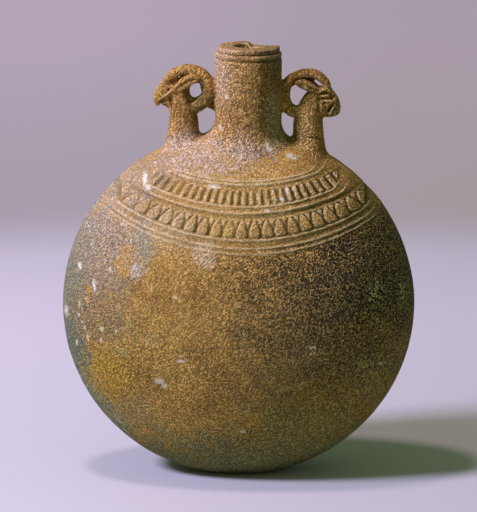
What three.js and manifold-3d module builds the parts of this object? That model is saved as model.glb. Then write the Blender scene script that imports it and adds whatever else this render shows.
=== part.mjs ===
// Lentoid flask with a tubular bottle neck and two handles in the shape of ibex heads.
// Millimetres, +Z up, X to the right, the front face towards -Y.
// The origin is the middle of the flat spot that the flask stands on.

import * as THREE from "three";
import { mergeVertices } from "three/addons/utils/BufferGeometryUtils.js";
import Module from "manifold-3d";

const wasm = await Module();
wasm.setup();

// Body: a hollow lens luted together from two moulded halves

const bodyDiameter = 130;
const bodyThickness = 70;
const bodyWall = 5;
const baseDepth = 1.7; // how much of the rounded underside is worn flat
const luteGap = 0.3; // film of slip between two pieces that are luted together
const cutOverrunLength = 4; // how far a cutting tool reaches past the piece that it cuts

// Collar: lines, bars and petals moulded in relief on both faces

const collarRadius = 109; // of the arcs that its rows follow
const collarOffset = 3.5; // the arcs hang a little to the right of the body's middle
const reliefHeight = 0.4;
const reliefRootDepth = 0.7; // how deep the relief is rooted in the wall
const lineWidth = 0.9;
const barWidth = 1.7;
const barHeight = 5;
const barPitch = 2.7;
const petalWidth = 3.9;
const petalHeight = 6.2;
const petalPitch = 4.55;

// Bottle neck

const neckHeight = 31.1; // from the body's top to the lip's top
const neckOffset = 3.6; // the neck stands a little to the right of the body's middle
const neckDiameter = 24.3;
const lipDiameter = 22.6;
const lipHeight = 2;
const boreDiameter = 11.4;
const mouthRoundingRadius = 0.5;
const grooveWidth = 0.6;
const grooveDepth = 0.5;
const ringBandHeight = 1.6; // raised band between the two grooves under the lip
const tenonDiameter = 18.6;
const tenonLength = 1.5; // how far the tenon shows inside the body
const footDiameter = 30;
const footEdgeHeight = 0.8; // the foot's outer edge above the body
const flareHeight = 5; // how far the neck's flare rises above the foot's edge

// Handles

const handleFootDepth = 6.3; // how far below the body's top the handles are set on
const animalNeckWidth = 10.6;
const animalNeckDepth = 9;
const headDepth = 8; // from forehead to jaw
const headWidth = 6.4; // from cheek to cheek
const hornWidth = 6.6; // both horns side by side
const earWidth = 3.8;
const earThickness = 1.8;
const earOffset = 3.5; // from the middle of the head to the middle of an ear

// Facets

const bodyFacets = 56;
const bodyArcSteps = 10;
const collarSteps = 10;
const neckFacets = 32;
const limbSides = 12;
const limbSteps = 10;
const hornSteps = 18;
const earSides = 8;
const earSteps = 8;
const mergeDistance = 0.0001;

const bodyRadius = bodyDiameter / 2;
const bodyHalfThickness = bodyThickness / 2;
const bodyCentreHeight = bodyRadius - baseDepth;
const bodyTop = bodyCentreHeight + bodyRadius;
const flaskHeight = bodyTop + neckHeight;
const handleFootHeight = bodyTop - handleFootDepth;
const tenonRadius = tenonDiameter / 2;
const neckRadius = neckDiameter / 2;

// The collar's rows in shares of the body's radius: height of the arc above the body's centre,
// and how far the row runs along the arc to the left and to the right.
// The last share of a row of shapes is how much they lean outwards at their foot.

const collarLineShares = [
  [0.772, -0.4, 0.38],
  [0.754, -0.45, 0.44],
  [0.64, -0.54, 0.52],
  [0.606, -0.6, 0.56],
  [0.463, -0.74, 0.7],
  [0.42, -0.76, 0.72],
  [0.389, -0.78, 0.75],
];
const barRowShares = [0.685, -0.53, 0.5, 1];
const petalRowShares = [0.524, -0.7, 0.65, 0.6];

// Outlines in shares of a shape's width and height from its middle.

const barShares = [
  [-0.5, -0.5],
  [0.5, -0.5],
  [0.5, 0.5],
  [-0.5, 0.5],
];
const petalShares = [
  [-0.46, -0.5],
  [0.46, -0.5],
  [0.48, 0],
  [0, 0.5],
  [-0.48, 0],
];
const faceShare = 0.98; // how much of the body's radius the relief can reach

// The two handles are modelled by hand and differ a little.
// Their reaches are measured from the side of the bottle neck, their heights from their feet.
// A row is: place outwards, height, half size in the picture plane, half size across it.
// Places are shares of the head's length, heights shares of the handle's height.
// The horns leave the forehead, pass over the head and come back to the nape: their rows
// are places in shares of the ring's radius from its middle, and a share of their thickness.

const leftHandle = {
  name: "left",
  side: -1,
  postReach: 11.35,
  muzzleReach: 22.35,
  crownHeight: 30.9,
  ringReach: 9.45,
  ringHeight: 21.3,
  ringRadius: 7.7,
  hornThickness: 3.7,
  animalNeckShares: [
    [0.06, -0.16, 0.92, 0.8],
    [0.05, 0.09, 0.58, 0.62],
    [0.02, 0.26, 0.49, 0.5],
    [0.11, 0.39, 0.43, 0.45],
    [0.2, 0.47, 0.38, 0.4],
    [0.18, 0.58, 0.31, 0.36],
    [0.17, 0.66, 0.2, 0.28],
  ],
  headShares: [
    [0.02, 0.66, 0.22, 0.36],
    [0.24, 0.668, 0.38, 0.47],
    [0.47, 0.64, 0.53, 0.5],
    [0.66, 0.59, 0.53, 0.45],
    [0.81, 0.542, 0.4, 0.36],
    [0.91, 0.5, 0.18, 0.2],
  ],
  earShares: [
    [0.36, 0.64, 0.16, 0.3],
    [0.12, 0.725, 0.42, 0.5],
    [-0.09, 0.777, 0.52, 0.5],
    [-0.3, 0.8, 0.36, 0.4],
    [-0.46, 0.808, 0.14, 0.2],
  ],
  hornShares: [
    [1.13, 0.22, 0.8],
    [1.01, 0.61, 0.93],
    [0.62, 0.93, 1],
    [0.08, 1.01, 1.04],
    [-0.49, 0.84, 1.1],
    [-0.85, 0.45, 1.12],
    [-0.96, 0.01, 1.15],
    [-0.9, -0.4, 1.15],
    [-0.66, -0.76, 1.1],
    [-0.31, -0.96, 0.98],
    [0.1, -1.08, 0.85],
  ],
};

const rightHandle = {
  name: "right",
  side: 1,
  postReach: 10.15,
  muzzleReach: 21.65,
  crownHeight: 29.1,
  ringReach: 8.65,
  ringHeight: 20.4,
  ringRadius: 7.3,
  hornThickness: 3.1,
  animalNeckShares: [
    [0.03, -0.16, 0.8, 0.8],
    [0, 0.09, 0.57, 0.62],
    [0, 0.26, 0.49, 0.5],
    [0.03, 0.4, 0.43, 0.45],
    [0.1, 0.51, 0.35, 0.4],
    [0.15, 0.6, 0.28, 0.36],
    [0.18, 0.67, 0.18, 0.28],
  ],
  headShares: [
    [0.08, 0.69, 0.2, 0.36],
    [0.29, 0.672, 0.33, 0.47],
    [0.48, 0.63, 0.47, 0.5],
    [0.63, 0.555, 0.53, 0.47],
    [0.74, 0.472, 0.44, 0.42],
    [0.78, 0.4, 0.24, 0.26],
  ],
  earShares: [
    [0.36, 0.695, 0.18, 0.3],
    [0.14, 0.74, 0.42, 0.5],
    [-0.06, 0.785, 0.54, 0.5],
    [-0.22, 0.815, 0.42, 0.4],
    [-0.34, 0.83, 0.16, 0.2],
  ],
  hornShares: [
    [0.99, 0.24, 0.9],
    [0.9, 0.66, 1],
    [0.55, 0.95, 1],
    [0.08, 0.98, 1],
    [-0.44, 0.82, 1],
    [-0.87, 0.47, 1],
    [-1.03, 0, 1],
    [-1.01, -0.44, 1.04],
    [-0.85, -0.75, 1.08],
    [-0.53, -0.95, 1.05],
    [-0.1, -1.03, 0.98],
  ],
};

// The neck's flare. A row is: share of the way out to the foot's edge, share of the flare's height.

const flareShares = [
  [0, 1],
  [0.07, 0.57],
  [0.25, 0.3],
  [0.57, 0.11],
  [1, 0],
];

const glaze = { roughness: 0.8, metalness: 0 };
const materials = {
  body: new THREE.MeshStandardMaterial({ name: "weathered_body", color: 0x8a6340, ...glaze }),
  neck: new THREE.MeshStandardMaterial({ name: "weathered_neck", color: 0x946c4c, ...glaze }),
  animal: new THREE.MeshStandardMaterial({ name: "weathered_handles", color: 0x9a7140, ...glaze }),
};

// Joins rings of points into one closed skin, capped at both ends or closed on itself.
function skin(rings, closed, mirrored) {
  const sides = rings[0].length;
  const points = rings.flat();
  const faces = [];
  const addFace = (a, b, c) => faces.push(...(mirrored ? [a, c, b] : [a, b, c]));
  const lastRing = closed ? rings.length : rings.length - 1;
  for (let ring = 0; ring < lastRing; ring += 1) {
    const here = ring * sides;
    const next = ((ring + 1) % rings.length) * sides;
    for (let side = 0; side < sides; side += 1) {
      const after = (side + 1) % sides;
      addFace(here + side, here + after, next + after);
      addFace(here + side, next + after, next + side);
    }
  }
  if (!closed) {
    const last = (rings.length - 1) * sides;
    for (let side = 1; side < sides - 1; side += 1) {
      addFace(0, side + 1, side);
      addFace(last, last + side, last + side + 1);
    }
  }
  const geometry = new THREE.BufferGeometry().setFromPoints(points);
  geometry.setIndex(faces);
  return geometry;
}

function toSolid(geometry) {
  const bare = geometry.clone();
  bare.deleteAttribute("normal");
  bare.deleteAttribute("uv");
  const merged = mergeVertices(bare, mergeDistance);
  const corners = Array.from(merged.index.array);
  const kept = [];
  for (let first = 0; first < corners.length; first += 3) {
    const [a, b, c] = corners.slice(first, first + 3);
    if (a !== b && b !== c && c !== a) {
      kept.push(a, b, c);
    }
  }
  const vertProperties = new Float32Array(merged.attributes.position.array);
  return new wasm.Manifold(new wasm.Mesh({ numProp: 3, vertProperties, triVerts: new Uint32Array(kept) }));
}

function toGeometry(solid) {
  const { vertProperties, triVerts } = solid.getMesh();
  const geometry = new THREE.BufferGeometry();
  geometry.setAttribute("position", new THREE.BufferAttribute(vertProperties, 3));
  geometry.setIndex(new THREE.BufferAttribute(triVerts, 1));
  geometry.computeVertexNormals();
  return geometry;
}

function addPiece(group, name, geometry, material) {
  const mesh = new THREE.Mesh(geometry, material);
  mesh.name = name;
  group.add(mesh);
}

// Body

function lensArc(radius, halfThickness, seam) {
  const arc = [];
  for (let step = 0; step <= bodyArcSteps; step += 1) {
    const turn = (step / bodyArcSteps) * (Math.PI / 2);
    arc.push(new THREE.Vector2(radius * Math.sin(turn), seam + (halfThickness - seam) * Math.cos(turn)));
  }
  return arc;
}

// Height of the body's outer surface under the point (x, y).
function shoulderHeight(x, y) {
  const across = (x / bodyRadius) ** 2 + (y / bodyHalfThickness) ** 2;
  return bodyCentreHeight + bodyRadius * Math.sqrt(1 - across);
}

// A place of the body's face: along an arc from its lowest point, and up from the arc.
function facePlace(arcHeight, along, up) {
  const turn = along / collarRadius;
  const reach = collarRadius - up;
  const x = collarOffset + reach * Math.sin(turn);
  const z = arcHeight + collarRadius - reach * Math.cos(turn);
  return new THREE.Vector2(x, z);
}

function isOnFace(place) {
  return place.length() < faceShare * bodyRadius;
}

// The point over a place of the face, lifted off it.
function overFace(place, side, lift) {
  const y = side * bodyHalfThickness * Math.sqrt(1 - place.lengthSq() / bodyRadius ** 2);
  const point = new THREE.Vector3(place.x, y, place.y);
  const radii = new THREE.Vector3(bodyRadius, bodyHalfThickness, bodyRadius);
  const outwards = point.clone().divide(radii).divide(radii).normalize();
  point.addScaledVector(outwards, lift);
  point.z += bodyCentreHeight;
  return point;
}

function collarLine(rowShares, side) {
  const [heightShare, leftShare, rightShare] = rowShares;
  const rings = [];
  for (let step = 0; step <= collarSteps; step += 1) {
    const along = (leftShare + (step / collarSteps) * (rightShare - leftShare)) * bodyRadius;
    const section = [
      [-lineWidth, -reliefRootDepth],
      [lineWidth, -reliefRootDepth],
      [0, reliefHeight],
    ];
    const places = section.map(([up]) => facePlace(heightShare * bodyRadius, along, up));
    if (places.every(isOnFace)) {
      rings.push(section.map(([, lift], corner) => overFace(places[corner], side, lift)));
    }
  }
  return toSolid(skin(rings, false, side > 0));
}

// Shapes of one outline, repeated along an arc.
function collarRow(rowShares, outlineShares, width, height, pitch, side) {
  const [heightShare, leftShare, rightShare, leanShare] = rowShares;
  const shapes = [];
  const first = Math.ceil((leftShare * bodyRadius) / pitch);
  const last = Math.floor((rightShare * bodyRadius) / pitch);
  for (let number = first; number < last; number += 1) {
    const middle = (number + 0.5) * pitch;
    const lean = leanShare * (middle / bodyRadius);
    const places = outlineShares.map(([acrossShare, upShare]) => {
      const up = upShare * height;
      return facePlace(heightShare * bodyRadius, middle + acrossShare * width - lean * up, up);
    });
    if (places.every(isOnFace)) {
      const rings = [-reliefRootDepth, reliefHeight].map((lift) => {
        return places.map((place) => overFace(place, side, lift));
      });
      shapes.push(toSolid(skin(rings, false, side > 0)));
    }
  }
  return shapes;
}

function collar(side) {
  return [
    ...collarLineShares.map((rowShares) => collarLine(rowShares, side)),
    ...collarRow(barRowShares, barShares, barWidth, barHeight, barPitch, side),
    ...collarRow(petalRowShares, petalShares, petalWidth, petalHeight, petalPitch, side),
  ];
}

// The front half is on side -1, the back half on side 1.
function bodyHalf(side) {
  const seam = luteGap / 2;
  const outer = lensArc(bodyRadius, bodyHalfThickness, seam);
  const inner = lensArc(bodyRadius - bodyWall, bodyHalfThickness - bodyWall, seam);
  const profile = [...inner, ...outer.reverse()];
  const shell = new THREE.LatheGeometry(profile, bodyFacets);
  shell.rotateZ(side < 0 ? Math.PI : 0);
  shell.translate(0, 0, bodyCentreHeight);

  const ground = new THREE.BoxGeometry(bodyDiameter, bodyDiameter, baseDepth + cutOverrunLength);
  ground.translate(0, 0, -(baseDepth + cutOverrunLength) / 2);

  const holeRadius = tenonRadius + luteGap;
  const holeLength = 2 * (bodyWall + cutOverrunLength);
  const hole = new THREE.CylinderGeometry(holeRadius, holeRadius, holeLength, neckFacets);
  hole.rotateX(Math.PI / 2);
  hole.translate(neckOffset, 0, bodyTop - bodyWall / 2);

  const worn = toSolid(shell).subtract(toSolid(ground)).subtract(toSolid(hole));
  return collar(side).reduce((half, relief) => half.add(relief), worn);
}

// The body as one full solid, a film of slip larger, to cut what is luted onto it.
function bodyClearance() {
  const upper = lensArc(bodyRadius + luteGap, bodyHalfThickness + luteGap, 0);
  const lower = upper.slice(0, -1).map((point) => new THREE.Vector2(point.x, -point.y));
  const lens = new THREE.LatheGeometry([...lower, ...upper.reverse()], bodyFacets);
  lens.translate(0, 0, bodyCentreHeight);
  return toSolid(lens);
}

// Bottle neck

function circle(radius, heightAt) {
  const ring = [];
  for (let facet = 0; facet < neckFacets; facet += 1) {
    const turn = (facet / neckFacets) * 2 * Math.PI;
    const x = neckOffset + radius * Math.cos(turn);
    const y = radius * Math.sin(turn);
    ring.push(new THREE.Vector3(x, y, heightAt(x, y)));
  }
  return ring;
}

const atHeight = (radius, height) => circle(radius, () => height);
const aboveBody = (radius, lift) => circle(radius, (x, y) => shoulderHeight(x, y) + lift);

// Rings of the flare from the stem down to the foot's edge, grown on all sides.
function flareRings(grow) {
  const flare = (footDiameter - neckDiameter) / 2;
  return flareShares.map(([outShare, upShare]) => {
    return aboveBody(neckRadius + outShare * flare + grow, footEdgeHeight + upShare * flareHeight + grow);
  });
}

// Rings of the neck's outside from the lip down to the edge of its foot.
function neckOutside() {
  const lipRadius = lipDiameter / 2;
  const lipBottom = flaskHeight - lipHeight;
  const bandTop = lipBottom - grooveWidth;
  const bandBottom = bandTop - ringBandHeight;
  const stemTop = bandBottom - grooveWidth;
  return [
    atHeight(lipRadius - mouthRoundingRadius, flaskHeight),
    atHeight(lipRadius, flaskHeight - mouthRoundingRadius),
    atHeight(lipRadius, lipBottom),
    atHeight(lipRadius - grooveDepth, (lipBottom + bandTop) / 2),
    atHeight(neckRadius, bandTop),
    atHeight(neckRadius, bandBottom),
    atHeight(neckRadius - grooveDepth, (bandBottom + stemTop) / 2),
    atHeight(neckRadius, stemTop),
    ...flareRings(0),
  ];
}

function bottleNeck() {
  const boreRadius = boreDiameter / 2;
  const footRadius = footDiameter / 2;
  const tenonBottom = bodyTop - bodyWall - tenonLength;
  const inside = [
    aboveBody(footRadius, luteGap),
    aboveBody((footRadius + tenonRadius) / 2, luteGap),
    aboveBody(tenonRadius, luteGap),
    atHeight(tenonRadius, tenonBottom),
    atHeight(boreRadius, tenonBottom),
    atHeight(boreRadius, flaskHeight - mouthRoundingRadius),
    atHeight(boreRadius + mouthRoundingRadius, flaskHeight),
  ];
  return skin([...neckOutside(), ...inside], true, true);
}

// The neck without its bore, a film of slip larger, to cut what is luted against it.
function neckClearance() {
  const rings = [
    atHeight(neckRadius + luteGap, flaskHeight + cutOverrunLength),
    ...flareRings(luteGap),
    aboveBody(footDiameter / 2 + luteGap, -bodyWall),
  ];
  return toSolid(skin(rings, false, true));
}

// Handles

// A closed limb along a smooth curve through rows of reach, height, half size and half depth.
function limb(rows, handle, middle, sides, steps, grow) {
  const outwards = (reach) => neckOffset + handle.side * (neckRadius + reach);
  const upwards = (height) => handleFootHeight + height;
  const places = rows.map(([reach, height]) => {
    return new THREE.Vector3(outwards(reach), middle, upwards(height));
  });
  const halfSizes = rows.map(([, , size, depth]) => new THREE.Vector3(size, depth, 0));
  const path = new THREE.CatmullRomCurve3(places);
  const sizes = new THREE.CatmullRomCurve3(halfSizes);
  const depthAxis = new THREE.Vector3(0, 1, 0);
  const rings = [];
  for (let step = 0; step <= steps; step += 1) {
    const share = step / steps;
    const along = path.getTangent(share);
    const centre = path.getPoint(share);
    const size = sizes.getPoint(share);
    const across = new THREE.Vector3().crossVectors(depthAxis, along).normalize();
    if (step === 0) {
      centre.addScaledVector(along, -grow);
    }
    if (step === steps) {
      centre.addScaledVector(along, grow);
    }
    const ring = [];
    for (let side = 0; side < sides; side += 1) {
      const turn = ((side + 0.5) / sides) * 2 * Math.PI;
      const point = centre.clone();
      point.addScaledVector(across, (size.x + grow) * Math.cos(turn));
      point.addScaledVector(depthAxis, (size.y + grow) * Math.sin(turn));
      ring.push(point);
    }
    rings.push(ring);
  }
  return toSolid(skin(rings, false, false));
}

// Turns rows of shares into reaches, heights and half sizes.
function sized(shares, handle, size, depth) {
  const headLength = handle.muzzleReach - handle.postReach;
  return shares.map(([outShare, upShare, sizeShare, depthShare]) => [
    handle.postReach + outShare * headLength,
    upShare * handle.crownHeight,
    sizeShare * size,
    depthShare * depth,
  ]);
}

function animalNeck(handle, grow) {
  const rows = sized(handle.animalNeckShares, handle, animalNeckWidth, animalNeckDepth);
  return limb(rows, handle, 0, limbSides, limbSteps, grow);
}

function head(handle, grow) {
  const rows = sized(handle.headShares, handle, headDepth, headWidth);
  return limb(rows, handle, 0, limbSides, limbSteps, grow);
}

function horns(handle, grow) {
  const rows = handle.hornShares.map(([outShare, upShare, thicknessShare]) => [
    handle.ringReach + outShare * handle.ringRadius,
    handle.ringHeight + upShare * handle.ringRadius,
    (thicknessShare * handle.hornThickness) / 2,
    hornWidth / 2,
  ]);
  return limb(rows, handle, 0, limbSides, hornSteps, grow);
}

function ear(handle, middle) {
  const rows = sized(handle.earShares, handle, earWidth, earThickness);
  return limb(rows, handle, middle, earSides, earSteps, 0);
}

function addHandle(group, handle, bodyCut, neckCut) {
  const animalNeckPiece = animalNeck(handle, 0).subtract(bodyCut).subtract(neckCut);
  const headPiece = head(handle, 0).subtract(animalNeck(handle, luteGap));
  const carriers = animalNeck(handle, luteGap).add(head(handle, luteGap));
  const hornPiece = horns(handle, 0).subtract(carriers).subtract(neckCut);
  const earCut = carriers.add(horns(handle, luteGap));
  const earPlaces = { front: -earOffset, back: earOffset };

  addPiece(group, `${handle.name}_ibex_neck`, toGeometry(animalNeckPiece), materials.animal);
  addPiece(group, `${handle.name}_ibex_head`, toGeometry(headPiece), materials.animal);
  addPiece(group, `${handle.name}_horns`, toGeometry(hornPiece), materials.animal);
  for (const [place, middle] of Object.entries(earPlaces)) {
    const earPiece = ear(handle, middle).subtract(earCut);
    addPiece(group, `${handle.name}_ear_${place}`, toGeometry(earPiece), materials.animal);
  }
}

const group = new THREE.Group();
addPiece(group, "body_front_half", toGeometry(bodyHalf(-1)), materials.body);
addPiece(group, "body_back_half", toGeometry(bodyHalf(1)), materials.body);
addPiece(group, "bottle_neck", bottleNeck(), materials.neck);

const bodyCut = bodyClearance();
const neckCut = neckClearance();
for (const handle of [leftHandle, rightHandle]) {
  addHandle(group, handle, bodyCut, neckCut);
}

export default group;
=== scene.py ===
"""A lentoid flask of weathered glazed pottery with a moulded collar and two ibex handles.

Lengths are in millimetres until a mesh is made. +Z is up and the front faces -Y.
"""

import math

import bmesh
import bpy
import numpy as np
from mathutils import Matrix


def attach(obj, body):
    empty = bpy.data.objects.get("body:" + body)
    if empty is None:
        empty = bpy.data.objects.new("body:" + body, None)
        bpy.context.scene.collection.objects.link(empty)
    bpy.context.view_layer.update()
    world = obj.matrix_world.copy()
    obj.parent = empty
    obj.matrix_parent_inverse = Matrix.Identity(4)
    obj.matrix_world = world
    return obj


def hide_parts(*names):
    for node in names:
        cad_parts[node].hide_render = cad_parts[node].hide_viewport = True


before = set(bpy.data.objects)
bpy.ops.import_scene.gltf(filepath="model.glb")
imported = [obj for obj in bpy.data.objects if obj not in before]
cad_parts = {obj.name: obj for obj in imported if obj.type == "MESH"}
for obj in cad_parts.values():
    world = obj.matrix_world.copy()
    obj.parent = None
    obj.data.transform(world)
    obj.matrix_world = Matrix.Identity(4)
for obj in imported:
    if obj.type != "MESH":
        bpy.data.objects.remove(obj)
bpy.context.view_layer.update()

MILLIMETRE = 0.001

# Body

BODY_RADIUS = 65.0
BODY_HALF_THICKNESS = 35.0
BODY_RADII = np.array([BODY_RADIUS, BODY_HALF_THICKNESS, BODY_RADIUS])
BODY_WALL = 5.0
BODY_CENTRE = np.array([0.0, 0.0, 63.3])
HOLE_RADIUS = 10.5
WORN_DEPTH = 0.3  # mean depth that the weather has taken off the body
SEAM_DEPTH = 0.3
SEAM_HALF_WIDTH = 0.7
SEAM_SHARE = 0.6  # share of the seam's depth that it has everywhere
RELIEF_SHARE = 0.85  # mean share of the collar's height that is left

# Lumps of the worn surface, and of what is left of the collar and of the seam: size and height

WEATHER_LUMPS = [(31.0, 0.12), (9.0, 0.07), (2.3, 0.05), (1.1, 0.03)]
RELIEF_LUMPS = [(7.0, 0.4), (2.4, 0.3)]
SEAM_LUMPS = [(5.0, 0.4)]

# Spans of the body's mesh, as shares of its half width: from, to, number of steps

COLUMN_SPANS = [(-1, -0.72, 21), (-0.72, 0.72, 294), (0.72, 1, 21)]
ROW_SPANS = [(-1, 0.2, 84), (0.2, 0.8, 161), (0.8, 1, 14)]
BLOCK = 7  # fine steps to one coarse step of the inside

# Bottle neck

NECK_AXIS = 3.6
NECK_RADIUS = 12.15
LIP_RADIUS = 11.3
BORE_RADIUS = 5.7
TENON_RADIUS = 9.3
TENON_BOTTOM = 121.8
FLASK_HEIGHT = 159.4
FLARE = 5.8
BORE_ROUNDING = 0.5
BORE_BEND_SHARE = 0.3
NECK_SIDES = 240
BORE_RING_SPACING = 1.5
LIP_RING_SPACING = 0.3
STEM_RINGS = 56
FOOT_RINGS = 30
SETTLING_STEPS = 12
SETTLING_SHARE = 0.9

# Break of the lip, which runs from the right side to the back. Angles are in degrees.

BREAK_END = 94
BREAK_RISE = 16
BREAK_FALL = 14
BREAK_DEPTH = 1.55
BREAK_LUMPS = [(1.7, 0.25)]

# Heights and radii of the lip, its grooves and the band between them, from the top down

LIP_ROWS = [
    (159.15, BORE_RADIUS + BORE_ROUNDING),
    (159.15, LIP_RADIUS - 0.5),
    (159.0, LIP_RADIUS - 0.15),
    (158.7, LIP_RADIUS),
    (157.75, LIP_RADIUS + 0.05),
    (157.45, LIP_RADIUS - 0.2),
    (157.2, LIP_RADIUS - 0.45),
    (156.95, NECK_RADIUS - 0.55),
    (156.7, NECK_RADIUS - 0.15),
    (156.35, NECK_RADIUS),
    (155.75, NECK_RADIUS),
    (155.4, NECK_RADIUS - 0.2),
    (155.1, NECK_RADIUS - 0.55),
    (154.85, NECK_RADIUS - 0.5),
    (154.5, NECK_RADIUS - 0.08),
    (154.1, NECK_RADIUS),
]

# Handles. A row is: out from the bottle neck's axis, height, half size and half depth.
# An ear's row also has its place in front of the middle.

LEFT = {
    "side": -1,
    "ibex_neck": [
        (23.5, 114, 7, 7.9), (23.6, 121.5, 6.7, 7.3), (23.7, 126.5, 6, 6),
        (23.5, 131, 5.3, 5.1), (23.9, 134.8, 4.8, 4.5), (24.2, 138.3, 3.3, 3.8),
        (24.5, 141.8, 2.3, 3),
    ],
    "skull": [
        (24.6, 142.1, 1.8, 2.4), (26.9, 142.8, 3, 3), (28.9, 142.5, 3.8, 3.2),
        (30.9, 141.2, 3.4, 2.9), (32.4, 139.6, 2.2, 2.4), (32.8, 138.4, 1.55, 2),
    ],
    "crest": [
        (30.4, 145.2, 1.3, 1.5), (28.7, 146.3, 2, 1.6), (27, 146.4, 1.95, 1.6),
        (25.9, 145.2, 1.3, 1.5),
    ],
    "jaw": [
        (26.2, 138.8, 2.8, 2.9), (28.3, 138.5, 2.5, 2.7), (30, 138.7, 1.8, 2.3),
        (31.2, 138.8, 1.2, 1.9),
    ],
    "horns": [
        (31, 144.8, 0.8, 2.2), (30.1, 146, 1.2, 2.5), (29, 147.3, 1.4, 2.8),
        (27.5, 148.7, 1.5, 3), (25.2, 149.9, 1.65, 3.2), (22.4, 150.4, 1.75, 3.3),
        (19.3, 149.9, 1.85, 3.3), (16.7, 148.4, 2, 3.3), (15, 146, 2.15, 3.3),
        (14.5, 143.2, 2.2, 3.3), (15, 140.6, 2.3, 3.3), (16.7, 138.5, 2.4, 3.3),
        (18.9, 136.8, 2.2, 3.2), (20.9, 135.6, 1.8, 3.1), (22.8, 134.9, 1.3, 2.9),
    ],
    "ear": [
        (27.6, 143, 0.9, 0.9, 2.7), (25.3, 144.3, 1.55, 1, 3.2), (22.8, 146.4, 2.15, 1, 3.5),
        (20.4, 147.5, 1.75, 1, 3.5), (18.4, 147.7, 0.9, 0.9, 3.3),
    ],
    "web": [
        (12.2, 139.4, 1.3, 1.5), (12.6, 137.4, 1.7, 1.5), (15.6, 138.4, 1.4, 1.2),
        (17.6, 139.7, 1.1, 1), (19.6, 139.1, 1.1, 1), (21.6, 140.2, 1.1, 1),
        (22.5, 142.8, 1.2, 1), (21.7, 145.2, 1.1, 1), (19.5, 146.4, 1.1, 1),
        (17.2, 146.1, 1, 1), (16.3, 142.8, 0.9, 1),
    ],
    # Dents and ridges: from out and height, to out and height, half width, depth (a ridge's is negative)
    "head_marks": [
        (28.8, 143.35, 29, 143.3, 0.6, 0.85), (29.5, 142.9, 30.9, 142, 0.8, 0.5),
        (29.9, 142.9, 30.2, 142.7, 0.42, -0.6), (32.4, 139.7, 27.7, 143.4, 0.4, -0.7),
        (30, 145.2, 31.6, 144.1, 0.6, -0.4), (32.3, 136.7, 31.5, 139.2, 0.45, 0.7),
        (31.5, 139.2, 29.8, 139.6, 0.55, 0.45), (33.9, 141.2, 33.8, 141, 0.3, 0.35),
        (28.8, 141.2, 27.6, 137.4, 0.55, 0.7), (30.3, 137.3, 28.6, 136.1, 0.6, 0.3),
    ],
    "neck_marks": [
        (26.6, 141.2, 26.4, 138.8, 0.45, -0.55), (26.4, 138.8, 27.4, 134.6, 0.6, -0.35),
        (22.6, 132.4, 20.8, 129, 0.6, 0.25),
    ],
    "ear_marks": [
        (25.6, 144.2, 22.6, 146.3, 0.5, 0.75), (22.6, 146.3, 19.6, 147.5, 0.5, 0.75),
        (27, 144.2, 24.4, 146.6, 0.4, -0.3), (24.4, 146.6, 21, 148.4, 0.4, -0.3),
        (24.6, 143.2, 22.2, 144.7, 0.4, -0.3), (22.2, 144.7, 18.8, 146.8, 0.4, -0.3),
    ],
}

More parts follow.
